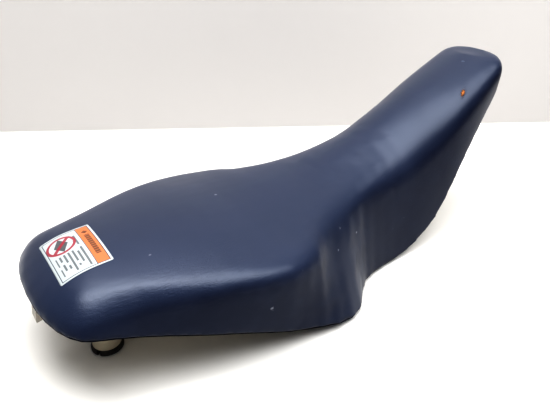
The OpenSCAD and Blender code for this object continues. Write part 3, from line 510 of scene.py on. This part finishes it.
# %% Label finish
def label_film():
    f = Finish("label_film", Specular_IOR_Level=0.45)
    x, y, _ = f.axes()
    u, v = x - label_mid.x, y - label_mid.y
    hu, hv = label_half

    def box(u0, u1, v0, v1, soft=0.00012):
        return (u.step(u0 - soft, u0 + soft) * (1.0 - u.step(u1 - soft, u1 + soft))
                * v.step(v0 - soft, v0 + soft) * (1.0 - v.step(v1 - soft, v1 + soft)))

    inner = box(-hu + 0.0022, hu - 0.0022, -hv + 0.0022, hv - 0.0022)
    keyline = inner - box(-hu + 0.0029, hu - 0.0029, -hv + 0.0029, hv - 0.0029)
    band_low = hu - 0.0145
    band = box(band_low, hu - 0.0022, -hv + 0.0022, hv - 0.0022)
    rule = box(band_low - 0.0006, band_low, -hv + 0.0022, hv - 0.0022)
    cu, cv = -0.0085, 0.0165
    ring_r = 0.0145
    du, dv = u - cu, v - cv
    reach = (du * du + dv * dv).root()
    ring = reach.step(ring_r - 0.0028, ring_r - 0.0025) * (1.0 - reach.step(ring_r, ring_r + 0.0003))
    inside = 1.0 - reach.step(ring_r - 0.002, ring_r - 0.0016)
    slash = (1.0 - abs((du - dv) * 0.7071).step(0.0017, 0.002)) * inside
    # a dark lozenge under the slash
    shape = (1.0 - (abs(du) * 0.95 + abs(dv) * 0.55).step(0.0066, 0.0069))
    # rows of bars, broken into word-like lengths
    pitch = 0.0042
    row = (u + hu) / pitch
    n = row - row.part()
    gaps = f.node("ShaderNodeTexWhiteNoise", setting={"noise_dimensions": "2D"},
                  Vector=f.node("ShaderNodeCombineXYZ", i0=n, i1=(v * 210.0) - (v * 210.0).part()))
    line = row.part().step(0.22, 0.3) * (1.0 - row.part().step(0.68, 0.76)) * gaps.step(0.14, 0.16)
    ends = f.node("ShaderNodeTexWhiteNoise", setting={"noise_dimensions": "1D"}, W=n)
    started = (v + hv - 0.006 - ends * 0.008).step(0.0, 0.0003)
    bars = line * box(-hu + 0.006, band_low - 0.004, -hv + 0.0055, -0.0005) * started
    top_line = line * box(band_low - 0.0085, band_low - 0.0025, -hv + 0.005, 0.029)
    sign = box(band_low + 0.0038, band_low + 0.0088, -0.021, 0.0175) * (v * 260.0).part().step(0.12, 0.2)
    badge = 1.0 - (abs(u - (band_low + 0.0063)) + abs(v - 0.0235)).step(0.0032, 0.0035)
    print_age = 0.85 + 0.15 * f.noise(900.0, 2.0)
    base = f.blend(f.noise(40.0, 3.0).step(0.4, 0.75) * 0.5, (0.52, 0.56, 0.57), (0.46, 0.50, 0.52))
    base = f.blend(band, base, (0.56, 0.21, 0.09))
    base = f.blend((sign + badge).clamp() * 0.8, base, (0.10, 0.05, 0.03))
    base = f.blend((bars + top_line).clamp() * 0.85 * print_age, base, (0.09, 0.10, 0.11))
    base = f.blend(shape * 0.9 * print_age, base, (0.04, 0.04, 0.045))
    base = f.blend((ring + slash).clamp() * 0.92, base, (0.34, 0.035, 0.06))
    base = f.blend((keyline + rule).clamp() * 0.9, base, (0.04, 0.045, 0.07))
    base = f.blend(f.noise(150.0, 4.0, 0.7).step(0.62, 0.75) * 0.16, base, (0.42, 0.40, 0.38))
    wave = f.bump(f.noise(60.0, 2.0), 0.0003, 0.4)
    return f.surface(Base_Color=base, Roughness=0.33 + 0.15 * f.noise(120.0, 2.0), Normal=wave)

dress(label, label_film())
print("label drawn")

# %% [markdown]
# ## Hard pieces
# Each hard piece keeps its exact CAD shape. Its finish carries the making: tool marks and flow in
# the moulded pan, dust in the rubber, a dull yellow passivated plating on pressed steel, and bright
# drawn wire for the staples and the spring.

# %% Plastic, rubber and steel
def moulded_plastic(name, light, dark):
    f = Finish(name, Specular_IOR_Level=0.45, Subsurface_Weight=0.12, Subsurface_Scale=0.004)
    flow = f.noise(1.0, 4.0, 0.6, at=f.stretch(9.0, 26.0, 26.0), twist=1.2)
    stain = f.noise(34.0, 4.0, 0.65)
    base = f.blend(flow.step(0.3, 0.7), light, dark)
    base = f.blend(stain.step(0.55, 0.8) * 0.5, base, tuple(c * 0.55 for c in dark))
    pits = f.cells(420.0).step(0.04, 0.16)
    base = f.blend((1.0 - pits) * f.noise(60.0, 1.0).step(0.6, 0.7) * 0.6, base, (0.09, 0.07, 0.05))
    skin = f.bump(f.noise(500.0, 2.0), 0.00006, 0.5, under=f.bump(flow, 0.0006, 0.3))
    return f.surface(Base_Color=base, Roughness=0.42 + flow * 0.14 + stain * 0.1, Normal=skin)


def rubber():
    f = Finish("black_rubber", Specular_IOR_Level=0.5)
    z = f.axes()[2]
    dust = f.noise(90.0, 4.0, 0.7)
    low = 1.0 - z.step(0.0, 0.004)
    dusty = (dust.step(0.5, 0.8) * 0.4 + low * dust * 0.25).clamp()
    base = f.blend(dusty, (0.026, 0.023, 0.022), (0.16, 0.145, 0.125))
    skin = f.bump(f.noise(700.0, 3.0, 0.6), 0.00012, 0.6)
    return f.surface(Base_Color=base, Roughness=0.62 + dust * 0.2, Normal=skin)


def plated(name, light, dark, rough, grain=(700.0, 60.0, 700.0)):
    f = Finish(name, Metallic=1.0)
    patch = f.noise(55.0, 4.0, 0.65)
    brush = f.noise(1.0, 2.0, 0.5, at=f.stretch(*grain))
    spot = (1.0 - f.cells(260.0).step(0.03, 0.12)) * patch.step(0.5, 0.65)
    base = f.blend(patch.step(0.3, 0.7), light, dark)
    base = f.blend(spot * 0.7, base, (0.20, 0.09, 0.04))
    skin = f.bump(brush, 0.00004, 0.5, under=f.bump(patch, 0.0002, 0.25))
    return f.surface(Base_Color=base, Roughness=rough + patch * 0.16 + spot * 0.3, Normal=skin)

pan_look = moulded_plastic("natural_pan_plastic", (0.52, 0.465, 0.36), (0.42, 0.365, 0.275))
tab_look = moulded_plastic("natural_tab_plastic", (0.50, 0.475, 0.42), (0.40, 0.375, 0.325))
rubber_look = rubber()
zinc_look = plated("yellow_zinc_plate", (0.72, 0.62, 0.40), (0.58, 0.52, 0.40), 0.30)
hook_look = plated("clear_zinc_plate", (0.66, 0.67, 0.69), (0.52, 0.54, 0.57), 0.28)
spring_look = plated("spring_steel_wire", (0.30, 0.30, 0.32), (0.20, 0.20, 0.22), 0.30,
                     grain=(90.0, 900.0, 900.0))
staple_look = plated("staple_wire", (0.72, 0.72, 0.74), (0.58, 0.58, 0.60), 0.24,
                     grain=(900.0, 900.0, 90.0))
screw_look = plated("screw_zinc", (0.70, 0.70, 0.71), (0.55, 0.56, 0.58), 0.25)
looks = {
    "pan": pan_look, "release_tab": tab_look, "staples": staple_look, "screws": screw_look,
    "tongue": zinc_look, "side_hook_left": zinc_look, "side_hook_right": zinc_look, "latch_bracket": zinc_look,
    "latch_hook": hook_look, "latch_pin": screw_look, "pin_clip": spring_look, "latch_spring": spring_look,
}
for side in ("left", "right"):
    for piece in ("foot_rear", "foot_mid", "nose_pad"):
        looks[piece + "_" + side] = rubber_look
for name, look in looks.items():
    dress(nodes[name], look)
left_over = sorted(set(nodes) - set(looks) - {"cover", "foam", "label"})
print("dressed", len(looks), "pieces; left over:", left_over)

# %% [markdown]
# ## Floor and light
# A white table with a pale wall close behind it. One long ceiling panel lights the crown and the
# table and draws the bright line along the padded shoulder. A weak lamp washes the wall.

# %% Table and wall
def flat_finish(name, colour, rough):
    f = Finish(name, Specular_IOR_Level=0.25)
    tone = f.noise(3.0, 3.0)
    return f.surface(Base_Color=f.blend(tone, colour, tuple(c * 0.985 for c in colour)), Roughness=rough)


def sheet_of(name, corners, mat):
    mesh = bpy.data.meshes.new(name)
    mesh.from_pydata([Vector(c) for c in corners], [], [(0, 1, 2, 3)])
    obj = bpy.data.objects.new(name, mesh)
    bpy.context.scene.collection.objects.link(obj)
    dress(obj, mat)
    return obj

room_half, wall_half_length, wall_height = 4, 2.6, 2.2
table = sheet_of("table", [(a * room_half, b * room_half, 0) for a, b in ((-1, -1), (1, -1), (1, 1), (-1, 1))],
                 flat_finish("white_table", (0.88, 0.87, 0.845), 0.45))
wall_foot, wall_run = Vector((0.278, 0.382, 0)), Vector((0.8645, -0.5026, 0))
wall_left, wall_right = (wall_foot + wall_run * k for k in (-wall_half_length, wall_half_length))
wall_up = Vector((0, 0, wall_height))
wall = sheet_of("wall", [wall_left, wall_right, wall_right + wall_up, wall_left + wall_up],
                flat_finish("pale_wall", (0.67, 0.65, 0.638), 0.7))
print("wall stands", round(wall_foot.length, 2), "m behind the saddle's middle")

# %% Lamps and world
def lamp(name, place, target, size, watts, colour=(1, 1, 1)):
    data = bpy.data.lights.new(name, "AREA")
    data.shape, data.size, data.size_y = "RECTANGLE", size[0], size[1]
    data.energy, data.color = watts, colour
    obj = bpy.data.objects.new(name, data)
    bpy.context.scene.collection.objects.link(obj)
    obj.location = place
    obj.rotation_euler = (Vector(target) - Vector(place)).to_track_quat("-Z", "Y").to_euler()
    return obj

lamps = [lamp("ceiling", (0.12, -0.5, 1.75), (0.12, -0.5, 0.0), (1.15, 2.8), 45, (1.0, 1.0, 1.0)),
         lamp("wall_wash", (-0.55, 0.25, 1.9), (-0.2, 0.66, 0.7), (1.2, 0.3), 5, (1.0, 0.99, 0.97))]
world = bpy.data.worlds.new("room")
world.use_nodes = True
sky = world.node_tree.nodes["Background"].inputs
sky[0].default_value = (0.95, 0.97, 1.0, 1)
sky[1].default_value = 0.24
bpy.context.scene.world = world
film = bpy.context.scene.view_settings
film.view_transform, film.look, film.gamma = "Standard", "High Contrast", 0.86
# the long panel runs across the saddle, from behind the tail to in front of the near side of the nose
lamps[0].rotation_euler = (0, 0, math.radians(33.5))
print("lamps:", len(lamps))
